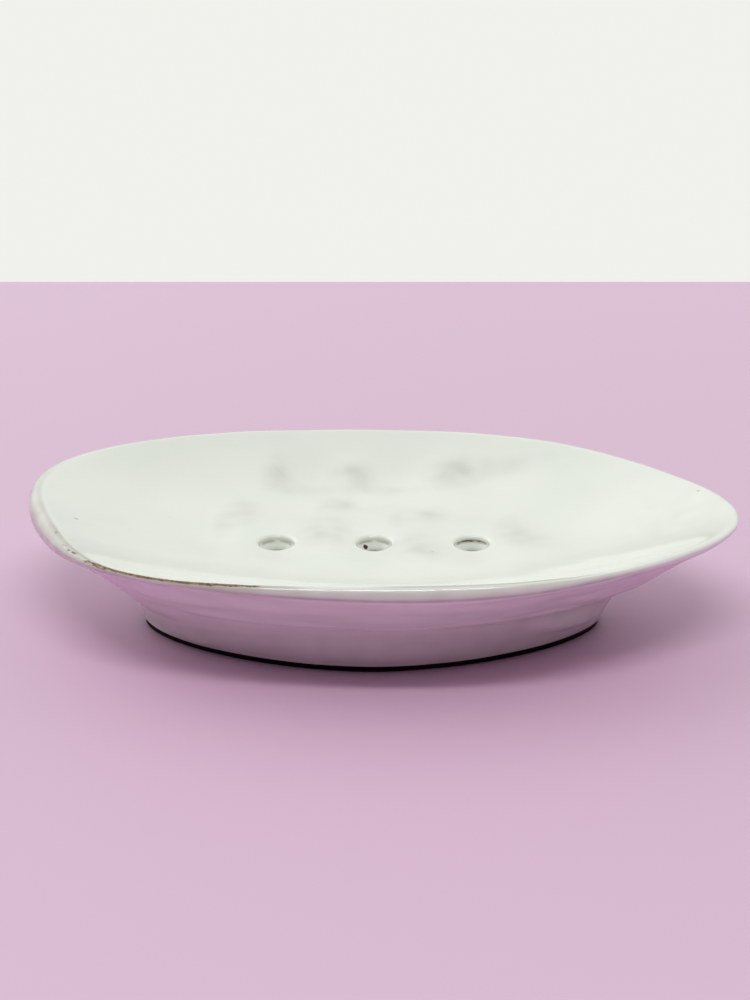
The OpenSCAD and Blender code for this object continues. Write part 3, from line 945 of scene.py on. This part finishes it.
SKY_PATCHES = (
    ((0.0, 0.0, 1.0), 8, 0.43),
    ((0.0, -0.34, 0.94), 16, 0.85),
    ((-0.71, 0.0, 0.71), 6, 0.36),
    ((0.71, 0.0, 0.71), 6, 0.62),
    ((-0.63, 0.63, 0.45), 6, 1.7),
    ((0.63, 0.63, 0.45), 6, 1.05),
    ((-0.8, 0.3, 0.52), 8, 0.8),
    ((0.0, -0.97, 0.26), 5, 0.05),
)
world = bpy.data.worlds.new("soft_sky")
world.use_nodes = True
sky_nodes, sky_links = world.node_tree.nodes, world.node_tree.links
sky_way = sky_nodes.new("ShaderNodeTexCoord").outputs["Generated"]


def sky_step(kind, operation, first, second):
    step = sky_nodes.new(kind)
    step.operation = operation
    for socket, value in zip(step.inputs, (first, second)):
        if isinstance(value, (int, float, tuple)):
            socket.default_value = value
        else:
            sky_links.new(value, socket)
    return step


sky_light = None
for way, power, strength in SKY_PATCHES:
    level = sky_step("ShaderNodeVectorMath", "DOT_PRODUCT", sky_way, way).outputs["Value"]
    level = sky_step("ShaderNodeMath", "MAXIMUM", level, 0.0).outputs[0]
    level = sky_step("ShaderNodeMath", "POWER", level, float(power)).outputs[0]
    patch = sky_nodes.new("ShaderNodeVectorMath")
    patch.operation = "SCALE"
    patch.inputs["Vector"].default_value = (strength, strength, strength)
    sky_links.new(level, patch.inputs["Scale"])
    patch = patch.outputs["Vector"]
    if sky_light is None:
        sky_light = patch
    else:
        sky_light = sky_step("ShaderNodeVectorMath", "ADD", sky_light, patch).outputs["Vector"]
sky_links.new(sky_light, sky_nodes["Background"].inputs["Color"])
bpy.context.scene.world = world


def lamp(name, wide, deep, watts, place):
    light = bpy.data.lights.new(name, "AREA")
    light.shape = "RECTANGLE"
    light.size = wide
    light.size_y = deep
    light.energy = watts
    holder = bpy.data.objects.new(name, light)
    holder.location = place
    holder.rotation_euler = (Vector((0, 0, 0.02)) - holder.location).to_track_quat("-Z", "Y").to_euler()
    bpy.context.scene.collection.objects.link(holder)


lamp("front_glint", 0.8, 0.10, 4.7, (0.0, -0.48, 1.03))

# Camera: 22.5 degrees above the table, 650 mm from the dish, straight on to its long side.
# The lens shows 4.44 pixels for each millimetre at the dish, in a picture 1000 pixels high.

CAMERA_LIFT = 22.5
CAMERA_AWAY = 650
SENSOR = 36.0
PIXELS_PER_MM = 4.44
PICTURE_HEIGHT = 1000
target = Vector((0.0005, -0.0022, 0.012))
lift = math.radians(CAMERA_LIFT)
lens = bpy.data.cameras.new("view")
lens.sensor_fit = "VERTICAL"
lens.sensor_height = SENSOR
lens.lens = SENSOR * PIXELS_PER_MM * CAMERA_AWAY / PICTURE_HEIGHT
lens.shift_x = -0.008
lens.shift_y = 0.071
lens.clip_start = 0.01
camera = bpy.data.objects.new("view", lens)
camera.location = target + Vector((0, -math.cos(lift), math.sin(lift))) * (CAMERA_AWAY * MM)
camera.rotation_euler = (target - camera.location).to_track_quat("-Z", "Y").to_euler()
bpy.context.scene.collection.objects.link(camera)
bpy.context.scene.camera = camera
bpy.context.scene.view_settings.view_transform = "Standard"
